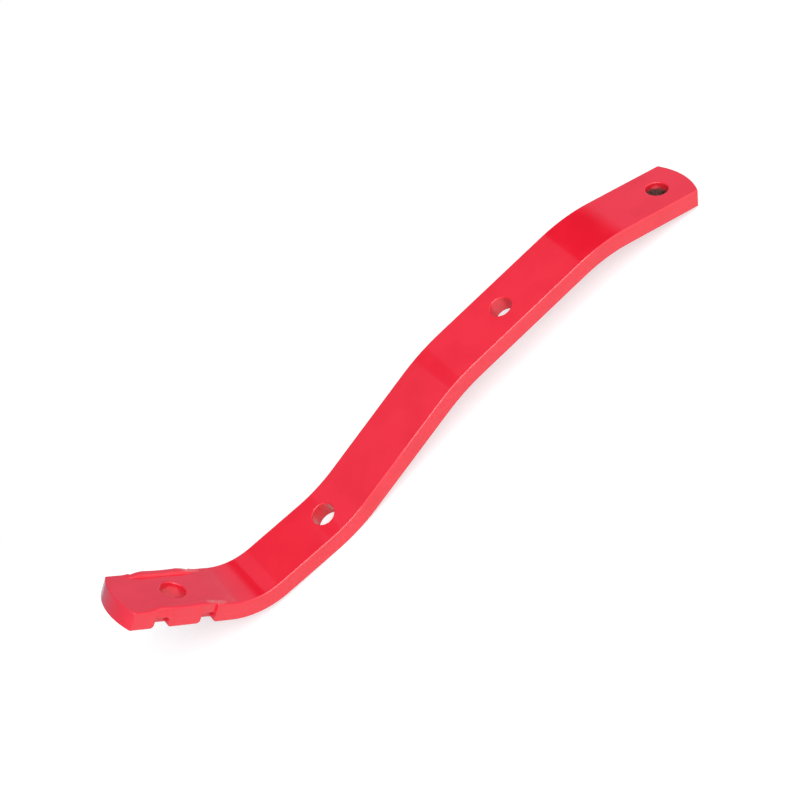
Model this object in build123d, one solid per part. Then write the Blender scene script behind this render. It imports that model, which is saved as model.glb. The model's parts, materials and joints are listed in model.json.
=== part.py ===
from build123d import *
from math import asin, atan2, degrees
import os

# Flat bar that the arm is bent from, in millimetres
bar_width = 40.0
bar_thick = 12.5
rolled_corner = 1.0

# Straight runs of the bar along mid thickness, from the apex of the tine end to that of the hub end
tine_pad = 76.0
heel_run = 40.5
shank_run = 75.5
shoulder_run = 91.0
hub_pad = 63.5

# Bends between the runs: angle in degrees, upwards positive, and radius at mid thickness
heel_angle, heel_radius = 46.5, 45.0
knee_angle, knee_radius = 18.5, 105.0
shoulder_angle, shoulder_radius = -14.5, 130.0
hub_angle, hub_radius = -20.0, 105.0

# Both ends are sheared to one arc across the width
end_radius = 40.0
end_rounding = 0.4

# Bolt holes: bores on the tine's side and on the carrier's, and the bevel at their rims
tine_side_bore = 16.0
carrier_side_bore = 14.5
hole_bevel = 0.5

# Their places along mid thickness, each from the apex of the end it is nearer to
tine_hole = 41.5
knee_hole = 161.5
shoulder_hole = 153.0
hub_hole = 22.5

# Lips raised along both edges of the tine pad, centred on the tine hole
lip_length = 49.0
lip_width = 5.0
lip_height = 1.75
lip_dip = 0.35
lip_peak_spacing = 26.0
lip_flank = 0.8
lip_corner = 0.6

# Notches pressed up into both edges below the lips, two a side
notch_spacing = 32.0
notch_width = 10.0
notch_rise = 6.75
notch_depth = 6.0
notch_corner = 1.5
notch_flare = 2.0
notch_draw_in = 1.2


def middle_line():
    """Line of the arm at mid thickness and mid width, with the tine pad along X."""
    angles = [heel_angle, knee_angle, shoulder_angle, hub_angle]
    radii = [heel_radius, knee_radius, shoulder_radius, hub_radius]
    runs = [heel_run, shank_run, shoulder_run, hub_pad]
    line = Line((0, 0), (tine_pad, 0))
    for angle, radius, length in zip(angles, radii, runs):
        bend = JernArc(line @ 1, line % 1, radius, angle)
        line += bend + Line(bend @ 1, bend @ 1 + (bend % 1) * length)
    return Plane.XZ * line


def station(distance):
    """Plane at a distance along the arm: X ahead, Y across, Z out of the upper face."""
    ahead = arm_line.tangent_at(distance, PositionMode.LENGTH)
    upwards = Vector(0, -1, 0).cross(ahead)
    return Plane(arm_line.position_at(distance, PositionMode.LENGTH), ahead, upwards)


def bent_bar():
    """The rolled bar with its bends, still square at both ends."""
    across = Plane(origin=(0, 0, 0), x_dir=(0, 1, 0), z_dir=(1, 0, 0))
    return sweep(across * RectangleRounded(bar_width, bar_thick, rolled_corner), arm_line)


def end_waste(distance, way):
    """What the shear takes off an end, where way is 1 at the tine end and -1 at the hub end."""
    strip = Rectangle(end_radius, 2 * bar_width)
    arc = Pos(way * end_radius, 0) * Circle(end_radius)
    return extrude(station(distance) * (strip - arc), bar_thick, both=True)


def bolt_hole(distance, diameter):
    """Drill for one bolt hole, square to the bar where it stands."""
    return station(distance) * Cylinder(diameter / 2, 2 * bar_thick)


def lip(side):
    """Raised lip along one edge of the tine pad, with side 1 or -1 across the bar."""
    face = bar_thick / 2
    peak = face + lip_height
    crest = Spline(
        (-lip_length / 2, face),
        (-lip_peak_spacing / 2, peak),
        (0, peak - lip_dip),
        (lip_peak_spacing / 2, peak),
        (lip_length / 2, face),
    )
    foot = Polyline(crest @ 1, (lip_length / 2, 0), (-lip_length / 2, 0), crest @ 0)
    along = extrude(Plane.XZ * make_face(crest + foot), bar_width / 2, both=True)
    inner = bar_width / 2 - lip_width
    section = Polygon(
        (side * inner, 0),
        (side * inner, face),
        (side * (inner + 2 * lip_flank), face + 2 * lip_height),
        (side * bar_width / 2, face + 2 * lip_height),
        (side * bar_width / 2, 0),
        align=None,
    )
    body = along & extrude(Plane.YZ * section, lip_length / 2, both=True)
    top = body.faces().sort_by(Axis.Z)[-1]
    rims = top.edges().sort_by(SortBy.LENGTH)[-2:]
    return station(tine_hole) * fillet(rims, lip_corner)


def notch(end, side):
    """Pocket pressed up from below into one edge of the tine pad, on one side of the tine hole."""
    pocket = Rectangle(notch_width, notch_rise, align=(Align.CENTER, Align.MIN))
    mouth = Rectangle(2 * notch_width, notch_flare, align=(Align.CENTER, Align.MAX))
    profile = pocket + mouth
    profile = fillet(profile.vertices().group_by(Axis.Y)[-1], notch_corner)
    lips_of_mouth = profile.vertices().group_by(Axis.Y)[1].sort_by_distance((0, 0))[:2]
    profile = fillet(lips_of_mouth, notch_flare)
    block = extrude(Plane.XZ * profile, notch_depth, both=True)
    place = Pos(end * notch_spacing / 2, side * bar_width / 2, -bar_thick / 2)
    return station(tine_hole) * place * block


def draw_in(end, side):
    """Wedge by which the edge over a notch is drawn in, deepest at the wall away from the hole."""
    deep = end * (notch_spacing + notch_width) / 2
    shallow = end * (notch_spacing - notch_width) / 2
    edge = bar_width / 2
    outline = Polygon(
        (deep, side * (edge + notch_draw_in)),
        (deep, side * (edge - notch_draw_in)),
        (shallow, side * edge),
        (shallow, side * (edge + notch_draw_in)),
        align=None,
    )
    return station(tine_hole) * extrude(outline, bar_thick, both=True)


def cut_out(arm, tool, soften, size):
    """The arm less a tool, with the edges that the tool leaves in its skin rounded or bevelled."""
    cut = arm - tool
    rims = (cut.edges() - arm.edges()).filter_by(GeomType.LINE, reverse=True)
    return soften(rims, size)


def resting_place(arm):
    """Place of the arm as it lies: on the outside of the knee and on the toe of the hub end."""
    knee = arm_line.edges().filter_by(GeomType.CIRCLE)[1].arc_center
    hub_end = station(arm_line.length)
    toe = hub_end.origin - hub_end.z_dir * bar_thick / 2
    reach = toe - knee
    tilt = atan2(reach.Z, reach.X) + asin((knee_radius + bar_thick / 2) / reach.length)
    turned = Rot(0, degrees(tilt), 0)
    box = (turned * arm).bounding_box()
    return Pos(-box.center().X, 0, -box.min.Z) * turned


arm_line = middle_line()
bolt_holes = {
    "tine_bolt": (tine_hole, tine_side_bore),
    "knee_bolt": (knee_hole, tine_side_bore),
    "shoulder_bolt": (arm_line.length - shoulder_hole, carrier_side_bore),
    "hub_bolt": (arm_line.length - hub_hole, carrier_side_bore),
}

arm = bent_bar()
arm = cut_out(arm, end_waste(0, 1), fillet, end_rounding)
arm = cut_out(arm, end_waste(arm_line.length, -1), fillet, end_rounding)
for distance, diameter in bolt_holes.values():
    arm = cut_out(arm, bolt_hole(distance, diameter), chamfer, hole_bevel)
for side in (1, -1):
    arm += lip(side)
    for end in (1, -1):
        arm -= draw_in(end, side) + notch(end, side)
resting = resting_place(arm)

os.makedirs("parts", exist_ok=True)
export_step(resting * arm, "parts/tine_arm.step")
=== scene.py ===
"""Looks of the tine arm: a flat bar, sheared, drilled, pressed and bent, under glossy red paint.

The arm is made as in the shop. A flat blank gets its holes and its round ends, a geometry tree presses the
lips and notches and makes the four bends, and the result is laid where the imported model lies. Lengths are in
metres unless a name says otherwise.
"""
from __future__ import annotations

import json
import logging
import math
from dataclasses import dataclass, field
from enum import Enum
from typing import Iterable, Sequence

import bmesh
import bpy
from mathutils import Matrix, Quaternion, Vector

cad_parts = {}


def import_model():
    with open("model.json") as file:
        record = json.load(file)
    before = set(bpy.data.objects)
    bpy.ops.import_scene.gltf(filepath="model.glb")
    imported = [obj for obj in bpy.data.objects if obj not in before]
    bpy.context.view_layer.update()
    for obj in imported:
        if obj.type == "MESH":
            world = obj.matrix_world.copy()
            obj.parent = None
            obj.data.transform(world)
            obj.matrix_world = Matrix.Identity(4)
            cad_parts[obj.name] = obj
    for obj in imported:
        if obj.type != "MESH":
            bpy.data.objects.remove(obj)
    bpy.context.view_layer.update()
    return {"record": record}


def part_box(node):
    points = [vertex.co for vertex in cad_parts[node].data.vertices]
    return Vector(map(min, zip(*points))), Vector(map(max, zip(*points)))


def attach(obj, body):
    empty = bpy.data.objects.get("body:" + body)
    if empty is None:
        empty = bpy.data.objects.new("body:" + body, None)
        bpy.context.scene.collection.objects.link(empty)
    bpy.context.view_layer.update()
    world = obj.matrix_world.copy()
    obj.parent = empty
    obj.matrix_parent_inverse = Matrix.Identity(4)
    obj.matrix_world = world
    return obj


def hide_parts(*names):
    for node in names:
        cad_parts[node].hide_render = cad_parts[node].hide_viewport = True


LOG = logging.getLogger("tine_arm")
MM = 0.001
ROOT = "root"
NODE = "tine_arm"
FLAT = "flat"
COOL = (0.92, 0.92, 1.2)


class Side(Enum):
    """The two faces of the blank that a hole runs between."""

    UNDER = -1
    UPPER = 1


class Value:
    """A number in a node tree, so that maths on it is written as a Python expression."""

    def __init__(self, graph: "Graph", socket: bpy.types.NodeSocket) -> None:
        """Keeps the tree and the socket that gives the number."""
        self.graph = graph
        self.socket = socket

    def _math(self, operation: str, *operands: "Value | float") -> "Value":
        """Adds one Math node.

        Args:
            operation: the node's operation.
            operands: the numbers that it works on, in order.

        Returns:
            The node's result.
        """
        return self.graph.node("ShaderNodeMath", {"operation": operation}, dict(enumerate(operands)))

    def __add__(self, other: "Value | float") -> "Value":
        """self + other."""
        return self._math("ADD", self, other)

    def __radd__(self, other: float) -> "Value":
        """other + self."""
        return self._math("ADD", other, self)

    def __sub__(self, other: "Value | float") -> "Value":
        """self - other."""
        return self._math("SUBTRACT", self, other)

    def __rsub__(self, other: float) -> "Value":
        """other - self."""
        return self._math("SUBTRACT", other, self)

    def __mul__(self, other: "Value | float") -> "Value":
        """self * other."""
        return self._math("MULTIPLY", self, other)

    def __rmul__(self, other: float) -> "Value":
        """other * self."""
        return self._math("MULTIPLY", other, self)

    def __truediv__(self, other: "Value | float") -> "Value":
        """self / other."""
        return self._math("DIVIDE", self, other)

    def __rtruediv__(self, other: float) -> "Value":
        """other / self."""
        return self._math("DIVIDE", other, self)

    def __abs__(self) -> "Value":
        """abs(self)."""
        return self._math("ABSOLUTE", self)

    def __lt__(self, other: "Value | float") -> "Value":
        """1 where self is less than other, and 0 elsewhere."""
        return self._math("LESS_THAN", self, other)

    def root(self) -> "Value":
        """Square root."""
        return self._math("SQRT", self)

    def sign(self) -> "Value":
        """1, 0 or -1."""
        return self._math("SIGN", self)

    def sine(self) -> "Value":
        """Sine of an angle in radians."""
        return self._math("SINE", self)

    def cosine(self) -> "Value":
        """Cosine of an angle in radians."""
        return self._math("COSINE", self)

    def least(self, other: "Value | float") -> "Value":
        """The lesser of two numbers."""
        return self._math("MINIMUM", self, other)

    def most(self, other: "Value | float") -> "Value":
        """The greater of two numbers."""
        return self._math("MAXIMUM", self, other)

    def ease(self, low: "Value | float", high: "Value | float") -> "Value":
        """Smooth step from 0 at low to 1 at high.

        Args:
            low: where it starts to rise.
            high: where it has risen.

        Returns:
            The step's height.
        """
        settings = {"interpolation_type": "SMOOTHSTEP"}
        inputs = {"Value": self, "From Min": low, "From Max": high}
        return self.graph.node("ShaderNodeMapRange", settings, inputs)


class Graph:
    """A shader or geometry tree with one way to add a node."""

    def __init__(self, tree: bpy.types.NodeTree) -> None:
        """Keeps the tree."""
        self.tree = tree

    def put(self, kind: str, settings: dict | None = None, inputs: dict | None = None) -> bpy.types.Node:
        """Adds a node of any kind.

        Args:
            kind: the node's type.
            settings: its properties, which are set first.
            inputs: values or links of its sockets, by name or number.

        Returns:
            The node.
        """
        node = self.tree.nodes.new(kind)
        for name, value in (settings or {}).items():
            setattr(node, name, value)
        for key, value in (inputs or {}).items():
            socket = node.inputs[key]
            if isinstance(value, Value):
                self.tree.links.new(value.socket, socket)
            elif isinstance(value, bpy.types.NodeSocket):
                self.tree.links.new(value, socket)
            else:
                socket.default_value = value
        return node

    def node(self, kind: str, settings: dict | None = None, inputs: dict | None = None,
             output: str | int = 0) -> Value:
        """Adds a node and gives one of its outputs.

        Args:
            kind: the node's type.
            settings: its properties.
            inputs: values or links of its sockets.
            output: name or number of the output.

        Returns:
            That output.
        """
        return Value(self, self.put(kind, settings, inputs).outputs[output])

    def split(self, vector: Value) -> tuple[Value, Value, Value]:
        """The three parts of a vector.

        Args:
            vector: the vector.

        Returns:
            Its X, Y and Z.
        """
        node = self.put("ShaderNodeSeparateXYZ", None, {0: vector})
        return tuple(Value(self, socket) for socket in node.outputs)

    def join(self, x: Value | float, y: Value | float, z: Value | float) -> Value:
        """A vector of three parts.

        Args:
            x: its X.
            y: its Y.
            z: its Z.

        Returns:
            The vector.
        """
        return self.node("ShaderNodeCombineXYZ", None, {0: x, 1: y, 2: z})

    def blend(self, share: Value | float, first: Value | Sequence[float],
              second: Value | Sequence[float]) -> Value:
        """A colour between two.

        Args:
            share: 0 for the first, 1 for the second.
            first: one colour.
            second: the other.

        Returns:
            The colour.
        """
        node = self.put("ShaderNodeMix", {"data_type": "RGBA"}, {0: share})
        for key, value in ((6, first), (7, second)):
            if isinstance(value, Value):
                self.tree.links.new(value.socket, node.inputs[key])
            else:
                node.inputs[key].default_value = (*value, 1.0)
        return Value(self, node.outputs[2])

    def noise(self, place: Value, cell: float, detail: float = 2.0, rough: float = 0.5) -> Value:
        """Noise about 0.5 with features of one size.

        Args:
            place: where to read it.
            cell: size of its features.
            detail: number of finer layers.
            rough: strength of the finer layers.

        Returns:
            The noise.
        """
        inputs = {"Vector": place, "Scale": 1.0 / cell, "Detail": detail, "Roughness": rough}
        return self.node("ShaderNodeTexNoise", {"noise_dimensions": "3D"}, inputs)


@dataclass(frozen=True)
class Bend:
    """One bend of the bar, upwards where its angle is positive."""

    start: float
    radius: float
    angle: float

    @property
    def length(self) -> float:
        """Length of the bend at mid thickness."""
        return self.radius * abs(self.angle)

    @property
    def end(self) -> float:
        """Where the bend ends along the bar."""
        return self.start + self.length


@dataclass(frozen=True)
class Hole:
    """One bolt hole of the flat blank."""

    place: float
    radius: float


@dataclass
class Bar:
    """The flat bar and its bends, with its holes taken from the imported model's record."""

    width: float
    thickness: float
    mounts: dict[str, dict]
    corner: float = 1.0 * MM
    tine_pad: float = 76.0 * MM
    runs: tuple[float, ...] = (40.5 * MM, 75.5 * MM, 91.0 * MM, 63.5 * MM)
    angles: tuple[float, ...] = (46.5, 18.5, -14.5, -20.0)
    radii: tuple[float, ...] = (45.0 * MM, 105.0 * MM, 130.0 * MM, 105.0 * MM)
    tine_hole: float = 41.5 * MM
    knee_hole: float = 161.5 * MM
    shoulder_hole: float = 153.0 * MM
    hub_hole: float = 22.5 * MM
    end_radius: float = 40.0 * MM
    end_edge: float = 0.4 * MM

    @property
    def bends(self) -> list[Bend]:
        """The four bends from the tine end on."""
        found: list[Bend] = []
        start = self.tine_pad
        for radius, angle, run in zip(self.radii, self.angles, self.runs):
            found.append(Bend(start, radius, math.radians(angle)))
            start = found[-1].end + run
        return found

    @property
    def length(self) -> float:
        """Length of the flat blank from apex to apex."""
        return self.bends[-1].end + self.runs[-1]

    @property
    def holes(self) -> dict[str, Hole]:
        """The four holes by mount, with their radii from the record."""
        places = {
            "tine_bolt": self.tine_hole,
            "knee_bolt": self.knee_hole,
            "shoulder_bolt": self.length - self.shoulder_hole,
            "hub_bolt": self.length - self.hub_hole,
        }
        return {name: Hole(place, self.mounts[name]["dims"]["r_mm"] * MM) for name, place in places.items()}

    def placement(self) -> Matrix:
        """Where the tine pad lies in the shared frame, from the record's tine hole.

        Returns:
            The matrix from blank to frame.
        """
        mount = self.mounts["tine_bolt"]
        up = Vector(mount["axis"]).normalized()
        across = Vector((0.0, 1.0, 0.0))
        ahead = across.cross(up)
        origin = Vector(mount["pos_m"]) - ahead * self.tine_hole
        return Matrix.Translation(origin) @ Matrix((ahead, across, up)).transposed().to_4x4()

    def end_setback(self, y: float) -> float:
        """How far the sheared end stands back from its apex.

        Args:
            y: place across the bar.

        Returns:
            The setback.
        """
        return self.end_radius - math.sqrt(self.end_radius ** 2 - y ** 2)


@dataclass
class Blank:
    """Flat blank with round ends and rimmed holes, as a grid of stations along and rows across."""

    bar: Bar
    pitch: float = 3.0 * MM
    bend_pitch: float = 1.3 * MM
    fine: float = 1.0 * MM
    hole_square: int = 7
    hole_zone: int = 12
    rim: float = 0.6 * MM
    rim_steps: int = 4
    wall_rows: int = 14
    corner_steps: int = 5
    end_zone: float = 12.0 * MM
    notch_places: tuple[float, ...] = (0.0,)
    edge_rows: tuple[float, ...] = (
        13.0, 13.6, 13.8, 13.95, 14.05, 14.2, 14.4, 14.8, 15.0,
        15.15, 15.3, 15.5, 15.7, 15.85, 16.0, 16.4, 17.2, 18.1,
    )
    side_rows: int = 9

    def rows(self) -> list[float]:
        """Places of the rows across the upper and under faces.

        Returns:
            The places, from one edge's rounding to the other's.
        """
        inner = [step * self.fine for step in range(13)]
        outer = [row * MM for row in self.edge_rows] + [self.bar.width / 2 - self.bar.corner]
        positive = inner[1:] + outer
        return [-row for row in reversed(positive)] + [0.0] + positive

    def section(self) -> list[tuple[float, float, float, float]]:
        """The rolled section as a closed loop that starts at the under face's first row.

        Returns:
            Place across, place through the thickness, and the outward normal's two parts, for each point.
        """
        rows = self.rows()
        half = self.bar.thickness / 2
        reach = half - self.bar.corner
        edge = self.bar.width / 2
        flanks = [reach * (2 * step / self.side_rows - 1) for step in range(1, self.side_rows)]
        loop = [(row, -half, 0.0, -1.0) for row in rows]
        loop += self._corner(1, -1, -90)
        loop += [(edge, flank, 1.0, 0.0) for flank in flanks]
        loop += self._corner(1, 1, 0)
        loop += [(row, half, 0.0, 1.0) for row in reversed(rows)]
        loop += self._corner(-1, 1, 90)
        loop += [(-edge, -flank, -1.0, 0.0) for flank in flanks]
        loop += self._corner(-1, -1, 180)
        return loop

    def _corner(self, across: int, up: int, start: float) -> list[tuple[float, float, float, float]]:
        """Rounding at one corner of the section, without the end that lies in a face's row.

        Args:
            across: side of the bar, 1 or -1.
            up: 1 at the upper face, -1 at the under face.
            start: angle at which it starts, in degrees.

        Returns:
            Its points with their normals.
        """
        radius = self.bar.corner
        middle = (across * (self.bar.width / 2 - radius), up * (self.bar.thickness / 2 - radius))
        from_face = across * up < 0
        steps = range(1, self.corner_steps + 1) if from_face else range(self.corner_steps)
        points = []
        for step in steps:
            angle = math.radians(start + 90 * step / self.corner_steps)
            normal = (math.cos(angle), math.sin(angle))
            points.append((middle[0] + radius * normal[0], middle[1] + radius * normal[1], *normal))
        return points

    def stations(self) -> list[float]:
        """Places of the cross-sections along the blank.

        Returns:
            The places, close together where something changes.
        """
        bar = self.bar
        fixed = {0.0, bar.length, self.end_zone, bar.length - self.end_zone}
        for hole in bar.holes.values():
            fixed.update(hole.place + step * self.fine for step in range(-self.hole_zone, self.hole_zone + 1))
        fixed.update(bar.tine_hole + place for place in self.notch_places)
        for bend in bar.bends:
            fixed.update((bend.start, bend.end))
        ordered = sorted(fixed)
        filled = [ordered[0]]
        for place in ordered[1:]:
            gap = place - filled[-1]
            middle = place - gap / 2
            bent = any(bend.start <= middle <= bend.end for bend in bar.bends)
            near_end = min(middle, bar.length - middle) < self.end_zone
            near_seat = abs(middle - bar.tine_hole) < max(self.notch_places) + 3 * self.fine
            pitch = self.fine if near_end or near_seat else self.bend_pitch if bent else self.pitch
            parts = max(1, math.ceil(gap / pitch - 0.01))
            filled += [filled[-1] + gap * step / parts for step in range(1, parts + 1)]
        return filled

    def build(self) -> bpy.types.Mesh:
        """Makes the blank's mesh.

        Returns:
            A closed mesh, flat, with X along the bar.
        """
        mesh = bmesh.new()
        rings, places = self._shell(mesh)
        for hole in self.bar.holes.values():
            self._hole(mesh, rings, places, hole)
        bmesh.ops.recalc_face_normals(mesh, faces=mesh.faces)
        made = bpy.data.meshes.new("tine_arm_blank")
        mesh.to_mesh(made)
        mesh.free()
        return made

    def _shell(self, mesh: bmesh.types.BMesh) -> tuple[list[list[bmesh.types.BMVert]], list[float]]:
        """Adds the blank's skin with its caps.

        Args:
            mesh: the mesh that it goes into.

        Returns:
            The rings of vertices that stand at the stations, and the stations' places.
        """
        bar = self.bar
        section = self.section()
        places = self.stations()
        turns = [math.radians(90 * step / self.rim_steps) for step in range(self.rim_steps)]
        edge = bar.end_edge
        caps = [(edge * (1 - math.sin(a)), edge * (1 - math.cos(a))) for a in turns]
        layout = [(ahead, inset) for inset, ahead in caps]
        layout += [(max(place, edge) if place < bar.length / 2 else min(place, bar.length - edge), 0.0)
                   for place in places]
        layout += [(bar.length - ahead, inset) for inset, ahead in reversed(caps)]
        rings = []
        for along, inset in layout:
            ring = []
            for y, z, out_y, out_z in section:
                across = y - inset * out_y
                near = max(0.0, 1 - along / self.end_zone)
                near -= max(0.0, 1 - (bar.length - along) / self.end_zone)
                shift = near * bar.end_setback(across)
                ring.append(mesh.verts.new((along + shift, across, z - inset * out_z)))
            rings.append(ring)
        count = len(section)
        for first, second in zip(rings, rings[1:]):
            for step in range(count):
                after = (step + 1) % count
                mesh.faces.new((first[step], first[after], second[after], second[step]))
        for ring in (rings[0], rings[-1]):
            self._cap(mesh, ring)
        return rings[len(caps):len(rings) - len(caps)], places

    def _cap(self, mesh: bmesh.types.BMesh, ring: list[bmesh.types.BMVert]) -> None:
        """Closes an end, with one face for each row and one for each flank.

        Args:
            mesh: the mesh.
            ring: the end's ring of vertices.
        """
        rows = len(self.rows())
        top = len(ring) - (len(ring) - 2 * rows) // 2 - rows
        for row in range(rows - 1):
            mesh.faces.new((ring[row], ring[row + 1], ring[top + rows - 2 - row], ring[top + rows - 1 - row]))
        mesh.faces.new(ring[rows - 1:top + 1])
        mesh.faces.new(ring[top + rows - 1:] + ring[:1])

    def _hole(self, mesh: bmesh.types.BMesh, rings: list[list[bmesh.types.BMVert]], places: list[float],
              hole: Hole) -> None:
        """Opens one hole with a rounded rim at both faces.

        Args:
            mesh: the mesh.
            rings: the rings at the stations.
            places: the stations' places.
            hole: the hole.
        """
        rows = self.rows()
        square = self.hole_square * self.fine
        tolerance = self.fine / 100
        first = next(i for i, place in enumerate(places) if abs(place - (hole.place - square)) < tolerance)
        last = next(i for i, place in enumerate(places) if abs(place - (hole.place + square)) < tolerance)
        left = next(i for i, row in enumerate(rows) if abs(row + square) < tolerance)
        right = next(i for i, row in enumerate(rows) if abs(row - square) < tolerance)
        top = len(rings[0]) - (len(rings[0]) - 2 * len(rows)) // 2 - len(rows)
        loops = {}
        for side in Side:
            def at(station: int, row: int) -> bmesh.types.BMVert:
                """Vertex of this face at a station and a row."""
                return rings[station][row if side is Side.UNDER else top + len(rows) - 1 - row]

            loops[side] = [at(first, row) for row in range(left, right)]
            loops[side] += [at(station, right) for station in range(first, last)]
            loops[side] += [at(last, row) for row in range(right, left, -1)]
            loops[side] += [at(station, left) for station in range(last, first, -1)]
            inside = [at(station, row) for station in range(first + 1, last)
                      for row in range(left + 1, right)]
            bmesh.ops.delete(mesh, geom=inside, context="VERTS")
        self._round_off(mesh, hole)
        self._wall(mesh, hole, loops)

    def _round_off(self, mesh: bmesh.types.BMesh, hole: Hole) -> None:
        """Moves the grid round a hole so that its inner square becomes the rim's circle.

        Args:
            mesh: the mesh.
            hole: the hole.
        """
        square = self.hole_square * self.fine
        zone = self.hole_zone * self.fine
        outer = hole.radius + self.rim
        for vertex in mesh.verts:
            along, across = vertex.co.x - hole.place, vertex.co.y
            reach = max(abs(along), abs(across))
            if reach < zone:
                share = max(0.0, (reach - square) / (zone - square))
                scale = share + (1 - share) * outer / math.hypot(along, across)
                vertex.co.x = hole.place + along * scale
                vertex.co.y = across * scale

    def _wall(self, mesh: bmesh.types.BMesh, hole: Hole, loops: dict[Side, list[bmesh.types.BMVert]]) -> None:
        """Adds a hole's wall between the rims of its two faces.

        Args:
            mesh: the mesh.
            hole: the hole.
            loops: the rim's vertices at each face.
        """
        half = self.bar.thickness / 2
        radius = hole.radius
        turns = [math.radians(90 * step / self.rim_steps) for step in range(1, self.rim_steps + 1)]
        rounding = [(self.rim * (1 - math.sin(a)), self.rim * (1 - math.cos(a))) for a in turns]
        profile = [(radius + wide, half - deep) for wide, deep in rounding]
        reach = half - self.rim
        profile += [(radius, reach * (1 - 2 * step / self.wall_rows)) for step in range(1, self.wall_rows)]
        profile += [(wide, -depth) for wide, depth in reversed(profile[:self.rim_steps])]
        upper = loops[Side.UPPER]
        headings = [Vector((v.co.x - hole.place, v.co.y)).normalized() for v in upper]
        rings = [upper]
        for wide, depth in profile:
            circle = [(hole.place + way.x * wide, way.y * wide, depth) for way in headings]
            rings.append([mesh.verts.new(point) for point in circle])
        rings.append(loops[Side.UNDER])
        for one, other in zip(rings, rings[1:]):
            for step in range(len(upper)):
                after = (step + 1) % len(upper)
                mesh.faces.new((one[step], one[after], other[after], other[step]))


@dataclass
class TineSeat:
    """Lips and notches pressed into the tine pad, in the words and sizes of the part's source."""

    bar: Bar
    lip_length: float = 49.0 * MM
    lip_width: float = 5.0 * MM
    lip_height: float = 1.75 * MM
    lip_flank: float = 0.8 * MM
    crest: tuple[tuple[float, float], ...] = (
        (0.0, 0.80), (0.26, 0.89), (0.53, 0.995), (0.78, 0.55), (1.0, 0.0)
    )
    notch_spacing: float = 32.0 * MM
    notch_width: float = 10.0 * MM
    notch_rise: float = 6.75 * MM
    notch_depth: float = 6.0 * MM
    notch_corner: float = 1.5 * MM
    notch_flare: float = 2.0 * MM
    draw_in: float = 1.2 * MM
    wall_slope: float = 0.3 * MM
    notch_steps: tuple[float, ...] = (
        -5.0, -4.0, -2.9, -2.2, -1.5, -1.1, -0.7, -0.35, -0.1, -0.01, 0.01, 0.1, 0.35, 0.7, 1.2, 2.0
    )

    def places(self) -> tuple[float, ...]:
        """Stations that the notches need, counted from the tine hole.

        Returns:
            The places, on both sides of the hole.
        """
        half = self.notch_width / 2
        steps = {step * MM for step in self.notch_steps}
        ahead = {self.notch_spacing / 2 + way * (half + step) for step in steps for way in (-1, 1)}
        return tuple(sorted(ahead | {-place for place in ahead}))

    def pressed(self, graph: Graph, position: Value) -> Value:
        """Presses lips and notches into the flat blank.

        Args:
            graph: the geometry tree.
            position: places on the blank.

        Returns:
            The places after pressing.
        """
        along, across, up = graph.split(position)
        reach = abs(along - self.bar.tine_hole)
        side = abs(across)
        edge = self.bar.width / 2
        thickness = self.bar.thickness
        inner = edge - self.lip_width
        lift = self._crest(graph, reach) * side.ease(inner, inner + self.lip_flank)
        wall = edge - self.notch_depth
        pocket = self._rise(reach) * side.ease(wall - self.wall_slope, wall + self.wall_slope)
        share = (up + thickness / 2) / thickness
        raised = up + lift * share + pocket * (1 - share)
        half = self.notch_width / 2
        near, far = self.notch_spacing / 2 - half, self.notch_spacing / 2 + half
        ramp = ((reach - near) / self.notch_width).most(0.0) * (reach < far)
        pull = ramp * self.draw_in * side.ease(edge - self.lip_width, edge - self.bar.corner)
        return graph.join(along, across - across.sign() * pull, raised)

    def _crest(self, graph: Graph, reach: Value) -> Value:
        """Height of the lips along the pad.

        Args:
            graph: the geometry tree.
            reach: distance from the tine hole along the pad.

        Returns:
            The height.
        """
        node = graph.put("ShaderNodeFloatCurve", None, {"Value": (reach / (self.lip_length / 2)).least(1.0)})
        curve = node.mapping.curves[0]
        for point, (x, y) in zip(curve.points, (self.crest[0], self.crest[-1])):
            point.location = (x, y)
        for x, y in self.crest[1:-1]:
            curve.points.new(x, y)
        node.mapping.update()
        return Value(graph, node.outputs[0]) * self.lip_height

    def _rise(self, reach: Value) -> Value:
        """Height of a notch's roof along the pad, with its pressed corners and flared mouth.

        Args:
            reach: distance from the tine hole along the pad.

        Returns:
            The height above the under face.
        """
        half = self.notch_width / 2
        off = abs(reach - self.notch_spacing / 2)
        corner, flare = self.notch_corner, self.notch_flare
        bow = (off - (half - corner)).most(0.0).least(corner)
        roof = (corner ** 2 - bow * bow).most(0.0).root() + (self.notch_rise - corner)
        mouth = (half + flare - off).most(0.0).least(flare)
        skirt = flare - (flare ** 2 - mouth * mouth).most(0.0).root()
        inside = off < half
        return roof * inside + skirt * (1 - inside)


@dataclass(frozen=True)
class TornWall:
    """Rough lower part of a punched hole's wall."""

    depth: float = 0.35 * MM
    starts: float = 3.0 * MM
    full: float = 0.0 * MM
    cell: float = 2.2 * MM

    def torn(self, graph: Graph, bar: Bar, position: Value) -> Value:
        """Roughens the walls of the holes below their smooth mouth.

        Args:
            graph: the geometry tree.
            bar: the bar with its holes.
            position: places on the blank.

        Returns:
            The places with rough walls.
        """
        along, across, up = graph.split(position)
        moved_along, moved_across = along, across
        tear = (graph.noise(position, self.cell, 3.0, 0.6) - 0.5) * 2 * self.depth
        tear = tear * (1 - up.ease(self.full, self.starts)) * up.ease(-bar.thickness / 2, -bar.thickness / 3)
        for hole in bar.holes.values():
            off = along - hole.place
            radius = (off * off + across * across).root()
            mask = radius < hole.radius + bar.end_edge / 2
            moved_along = moved_along + off / radius * tear * mask
            moved_across = moved_across + across / radius * tear * mask
        return graph.join(moved_along, moved_across, up)


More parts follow.
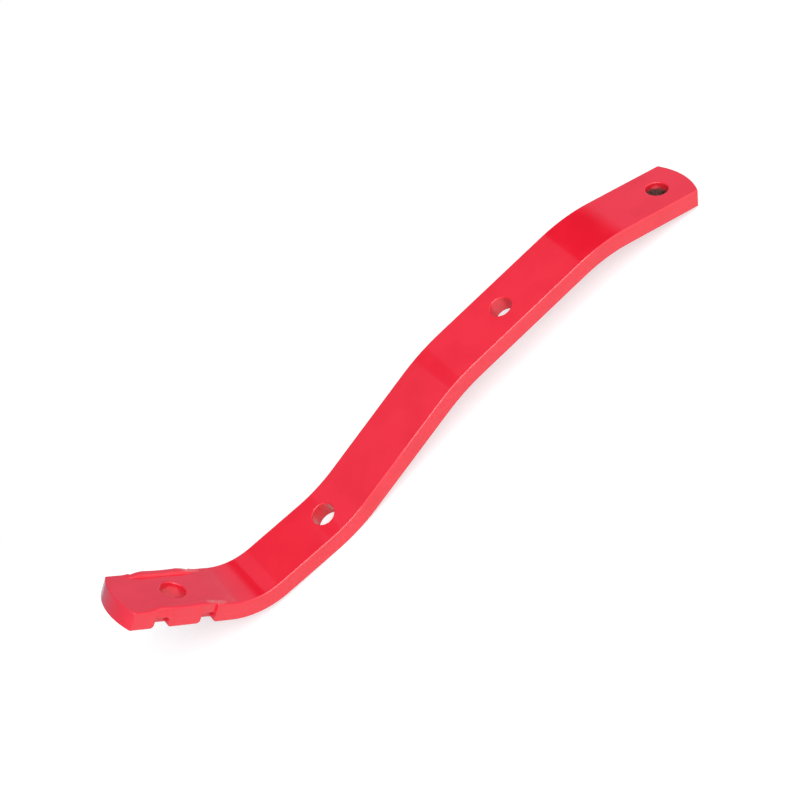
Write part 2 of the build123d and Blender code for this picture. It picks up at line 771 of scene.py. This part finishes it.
@dataclass
class Arm:
    """The bent bar itself: blank, pressing, bending and laying down."""

    bar: Bar
    seat: TineSeat
    wall: TornWall = field(default_factory=TornWall)

    def build(self, paint: bpy.types.Material) -> bpy.types.Object:
        """Makes the arm as a plain mesh in the shared frame.

        Args:
            paint: its finish.

        Returns:
            The finished object.
        """
        blank = Blank(self.bar, notch_places=self.seat.places()).build()
        rough = bpy.data.objects.new("tine_arm_blank", blank)
        bpy.context.scene.collection.objects.link(rough)
        press = rough.modifiers.new("press_and_bend", "NODES")
        press.node_group = self._tree(paint)
        for item in press.node_group.interface.items_tree:
            if item.item_type == "SOCKET" and item.in_out == "INPUT" and item.name in self._sizes():
                press[item.identifier] = self._sizes()[item.name]
        weigh = rough.modifiers.new("flat_faces_first", "WEIGHTED_NORMAL")
        weigh.weight = 80
        evaluated = rough.evaluated_get(bpy.context.evaluated_depsgraph_get())
        mesh = bpy.data.meshes.new_from_object(evaluated)
        bpy.data.objects.remove(rough)
        mesh.name = "painted_tine_arm"
        mesh.transform(self.bar.placement())
        arm = bpy.data.objects.new("painted_tine_arm", mesh)
        bpy.context.scene.collection.objects.link(arm)
        return arm

    def _sizes(self) -> dict[str, float]:
        """Named inputs of the tree: each bend's start, radius and angle.

        Returns:
            Their values by name.
        """
        found = {}
        for name, bend in zip(("Heel", "Knee", "Shoulder", "Hub"), self.bar.bends):
            found[f"{name} start"] = bend.start
            found[f"{name} radius"] = bend.radius
            found[f"{name} angle"] = bend.angle
        return found

    def _tree(self, paint: bpy.types.Material) -> bpy.types.NodeTree:
        """Builds the geometry tree that presses and bends a blank.

        Args:
            paint: the finish that it sets.

        Returns:
            The tree.
        """
        tree = bpy.data.node_groups.new("press_and_bend", "GeometryNodeTree")
        tree.interface.new_socket("Blank", in_out="INPUT", socket_type="NodeSocketGeometry")
        for name in self._sizes():
            tree.interface.new_socket(name, in_out="INPUT", socket_type="NodeSocketFloat")
        tree.interface.new_socket("Arm", in_out="OUTPUT", socket_type="NodeSocketGeometry")
        graph = Graph(tree)
        given = graph.put("NodeGroupInput")
        flat = graph.node("GeometryNodeInputPosition")
        kept = graph.node("GeometryNodeStoreNamedAttribute", {"data_type": "FLOAT_VECTOR", "domain": "POINT"},
                          {"Geometry": given.outputs["Blank"], "Name": FLAT, "Value": flat})
        place = self.seat.pressed(graph, self.wall.torn(graph, self.bar, flat))
        for name in ("Hub", "Shoulder", "Knee", "Heel"):
            sizes = [Value(graph, given.outputs[f"{name} {word}"]) for word in ("start", "radius", "angle")]
            place = self._bent(graph, place, *sizes)
        moved = graph.node("GeometryNodeSetPosition", None, {"Geometry": kept, "Position": place})
        smooth = graph.node("GeometryNodeSetShadeSmooth", None, {"Geometry": moved, "Shade Smooth": True})
        real = graph.node("GeometryNodeRealizeInstances", None, {0: smooth})
        painted = graph.node("GeometryNodeSetMaterial", None, {"Geometry": real, "Material": paint})
        graph.put("NodeGroupOutput", None, {"Arm": painted})
        return tree

    def _bent(self, graph: Graph, position: Value, start: Value, radius: Value, angle: Value) -> Value:
        """Bends all that lies beyond a place.

        Args:
            graph: the geometry tree.
            position: places before the bend.
            start: where the bend starts along the bar.
            radius: its radius at mid thickness.
            angle: its angle, upwards positive.

        Returns:
            The places after the bend.
        """
        along, across, up = graph.split(position)
        hub = radius * angle.sign()
        inside = (along - start).most(0.0).least(radius * abs(angle))
        turn = inside / hub
        ahead = along - start - inside
        drop = up - hub
        cosine, sine = turn.cosine(), turn.sine()
        return graph.join(start + cosine * ahead - sine * drop, across, hub + sine * ahead + cosine * drop)


@dataclass(frozen=True)
class RedPaint:
    """Glossy red paint with a fine orange peel, and a dark brown, duller lower part of the hub hole's wall."""

    colour: tuple[float, float, float] = (0.85, 0.016, 0.037)
    deep: tuple[float, float, float] = (0.81, 0.012, 0.031)
    # Two dark browns, mixed by fine noise, for the lower part of the hub hole's wall.
    low_wall_brown: tuple[float, float, float] = (0.16, 0.085, 0.07)
    low_wall_dark: tuple[float, float, float] = (0.09, 0.02, 0.015)
    gloss: float = 0.13
    dull: float = 0.5
    coat: float = 1.0
    coat_gloss: float = 0.06
    peel_cell: float = 1.6 * MM
    peel_height: float = 0.008 * MM
    wave_cell: float = 14.0 * MM
    wave_height: float = 0.05 * MM
    patch_cell: float = 22.0 * MM

    def build(self, bar: Bar) -> bpy.types.Material:
        """Makes the paint.

        Args:
            bar: the bar, for the place of its hub hole.

        Returns:
            The material.
        """
        material = bpy.data.materials.new("red_paint")
        material.use_nodes = True
        material.node_tree.nodes.clear()
        graph = Graph(material.node_tree)
        place = graph.node("ShaderNodeAttribute", {"attribute_name": FLAT}, None, "Vector")
        patch = graph.noise(place, self.patch_cell, 2.0)
        paint = graph.blend(patch.ease(0.35, 0.7), self.colour, self.deep)
        # The hub hole's wall turns dark brown, duller, uncoated and rougher in its lower part.
        low_wall = self._low_wall_share(graph, bar, place)
        low_wall_colour = graph.blend(graph.noise(place, 1.5 * MM, 3.0).ease(0.4, 0.6), self.low_wall_brown, self.low_wall_dark)
        colour = graph.blend(low_wall, paint, low_wall_colour)
        height = graph.noise(place, self.peel_cell, 1.0) * self.peel_height
        height = height + graph.noise(place, self.wave_cell, 0.0) * self.wave_height
        height = height + low_wall * graph.noise(place, 0.6 * MM, 3.0) * (0.2 * MM)
        bump = graph.node("ShaderNodeBump", None, {"Height": height, "Distance": 1.0, "Strength": 1.0})
        shader = graph.node("ShaderNodeBsdfPrincipled", None, {
            "Base Color": colour,
            "Roughness": low_wall * (self.dull - self.gloss) + self.gloss,
            "Coat Weight": (1 - low_wall) * self.coat,
            "Coat Roughness": self.coat_gloss,
            "Normal": bump,
        })
        graph.put("ShaderNodeOutputMaterial", None, {"Surface": shader})
        return material

    def _low_wall_share(self, graph: Graph, bar: Bar, place: Value) -> Value:
        """Where the hub hole's wall is dark brown and dull, in its lower part.

        Args:
            graph: the shader tree.
            bar: the bar.
            place: places on the blank.

        Returns:
            1 on the dark lower wall and 0 elsewhere.
        """
        along, across, up = graph.split(place)
        hole = bar.holes["hub_bolt"]
        off = along - hole.place
        radius = (off * off + across * across).root()
        inside = 1 - radius.ease(hole.radius + 0.05 * MM, hole.radius + 0.5 * MM)
        ragged = graph.noise(place, 3.0 * MM, 3.0) - 0.5
        low = 1 - (up + ragged * (6.0 * MM)).ease(1.0 * MM, 3.0 * MM)
        return inside * low


@dataclass(frozen=True)
class PaleFloor:
    """Pale table that the camera sees as white, with the arm's shadow on it."""

    colour: tuple[float, float, float] = (0.6, 0.6, 0.6)
    low: tuple[float, float] = (-0.5, -0.5)
    high: tuple[float, float] = (0.5, 0.2)
    seen: float = 0.52

    def build(self) -> bpy.types.Object:
        """Makes the floor.

        Returns:
            The floor object.
        """
        mesh = bpy.data.meshes.new("floor")
        (left, near), (right, far) = self.low, self.high
        corners = [(left, near, 0), (right, near, 0), (right, far, 0), (left, far, 0)]
        mesh.from_pydata(corners, [], [(0, 1, 2, 3)])
        floor = bpy.data.objects.new("floor", mesh)
        bpy.context.scene.collection.objects.link(floor)
        mesh.materials.append(self._material())
        return floor

    def _material(self) -> bpy.types.Material:
        """Makes the floor's finish: matt, and lifted to white for the camera alone.

        Returns:
            The material.
        """
        material = bpy.data.materials.new("pale_floor")
        material.use_nodes = True
        material.node_tree.nodes.clear()
        graph = Graph(material.node_tree)
        camera = graph.node("ShaderNodeLightPath", None, None, "Is Camera Ray")
        matt = graph.node("ShaderNodeBsdfDiffuse", None, {"Color": (*self.colour, 1.0)})
        shine = graph.node("ShaderNodeEmission", None, {"Strength": camera * self.seen})
        both = graph.node("ShaderNodeAddShader", None, {0: matt, 1: shine})
        graph.put("ShaderNodeOutputMaterial", None, {"Surface": both})
        return material


@dataclass(frozen=True)
class Panel:
    """One soft panel lamp."""

    name: str
    place: tuple[float, float, float]
    target: tuple[float, float, float]
    size: tuple[float, float]
    watts: float
    colour: tuple[float, float, float] = (1.0, 1.0, 1.0)

    def build(self) -> bpy.types.Object:
        """Hangs the lamp.

        Returns:
            The lamp object.
        """
        lamp = bpy.data.lights.new(self.name, "AREA")
        lamp.shape = "RECTANGLE"
        lamp.size, lamp.size_y = self.size
        lamp.energy = self.watts
        lamp.color = self.colour
        hung = bpy.data.objects.new(self.name, lamp)
        bpy.context.scene.collection.objects.link(hung)
        hung.location = self.place
        hung.rotation_mode = "QUATERNION"
        hung.rotation_quaternion = (Vector(self.target) - Vector(self.place)).to_track_quat("-Z", "Y")
        return hung


@dataclass
class Studio:
    """Floor, lamps, world and camera."""

    panels: Iterable[Panel] = (
        Panel("key_panel", (0.10, -0.80, 1.30), (0.0, 0.0, 0.0), (1.3, 1.3), 14.3),
        Panel("left_back_panel", (-0.31, 0.72, 0.77), (-0.03, 0.0, 0.02), (0.36, 0.40), 0.12, COOL),
        Panel("right_back_panel", (0.21, 0.72, 0.80), (0.08, 0.0, 0.03), (0.36, 0.40), 0.11, COOL),
        Panel("middle_back_panel", (-0.05, 0.72, 0.78), (0.0, 0.0, 0.03), (0.16, 0.40), 0.025, COOL),
    )
    front: float = 1.21
    back: float = 0.36
    front_heading: tuple[float, float, float] = (0.0, -0.5, 0.87)
    front_from: float = 0.1
    front_full: float = 0.8
    gap_heading: tuple[float, float, float] = (0.0, 0.68, 0.73)
    gap_from: float = 0.695
    gap_full: float = 0.82
    eye: tuple[float, float, float] = (-0.122962, -0.717615, 0.809016)
    aim: tuple[float, float, float] = (-0.011147, -0.004392, 0.045001)
    roll: float = -36.7875
    focal_px: float = 1704.62
    picture_px: float = 800.0
    sensor: float = 36.0

    def build(self) -> None:
        """Sets up everything round the object."""
        PaleFloor().build()
        for panel in self.panels:
            panel.build()
        self._world()
        self._camera()
        bpy.context.scene.view_settings.view_transform = "Standard"

    def _world(self) -> None:
        """Soft light, stronger from the front, with a dark gap high at the back, and white to the camera."""
        world = bpy.data.worlds.new("studio")
        world.use_nodes = True
        world.node_tree.nodes.clear()
        graph = Graph(world.node_tree)
        heading = graph.node("ShaderNodeTexCoord", None, None, "Generated")
        toward_front, toward_gap = (
            graph.node("ShaderNodeVectorMath", {"operation": "DOT_PRODUCT"}, {0: heading, 1: way}, "Value")
            for way in (self.front_heading, self.gap_heading)
        )
        front = toward_front.ease(self.front_from, self.front_full)
        lit = front * (self.front - self.back) + self.back
        level = lit * (1 - toward_gap.ease(self.gap_from, self.gap_full))
        seen = graph.node("ShaderNodeLightPath", None, None, "Is Camera Ray")
        colour = graph.blend(front.most(seen), COOL, (1.0, 1.0, 1.0))
        strength = seen + (1 - seen) * level
        light = graph.node("ShaderNodeBackground", None, {"Color": colour, "Strength": strength})
        graph.put("ShaderNodeOutputWorld", None, {"Surface": light})
        bpy.context.scene.world = world

    def _camera(self) -> None:
        """Puts the camera where the photograph was taken from."""
        lens = bpy.data.cameras.new("camera")
        lens.sensor_width = self.sensor
        lens.lens = self.focal_px * self.sensor / self.picture_px
        camera = bpy.data.objects.new("camera", lens)
        bpy.context.scene.collection.objects.link(camera)
        eye, aim = Vector(self.eye), Vector(self.aim)
        camera.location = eye
        camera.rotation_mode = "QUATERNION"
        level = (aim - eye).to_track_quat("-Z", "Y")
        camera.rotation_quaternion = level @ Quaternion((0.0, 0.0, 1.0), math.radians(self.roll))
        bpy.context.scene.camera = camera


def main() -> None:
    """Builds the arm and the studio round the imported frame."""
    logging.basicConfig(level=logging.INFO, format="%(name)s: %(message)s")
    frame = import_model()
    low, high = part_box(NODE)
    mounts = {mount["name"]: mount for mount in frame["record"]["mounts"]}
    bar = Bar(width=high.y - low.y, thickness=12.5 * MM, mounts=mounts)
    paint = RedPaint().build(bar)
    arm = Arm(bar, TineSeat(bar)).build(paint)
    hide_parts(NODE)
    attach(arm, ROOT)
    LOG.info("%s: %d faces, blank %.1f mm long", arm.name, len(arm.data.polygons), bar.length / MM)
    Studio().build()
    LOG.info("studio ready")


if __name__ == "__main__":
    main()
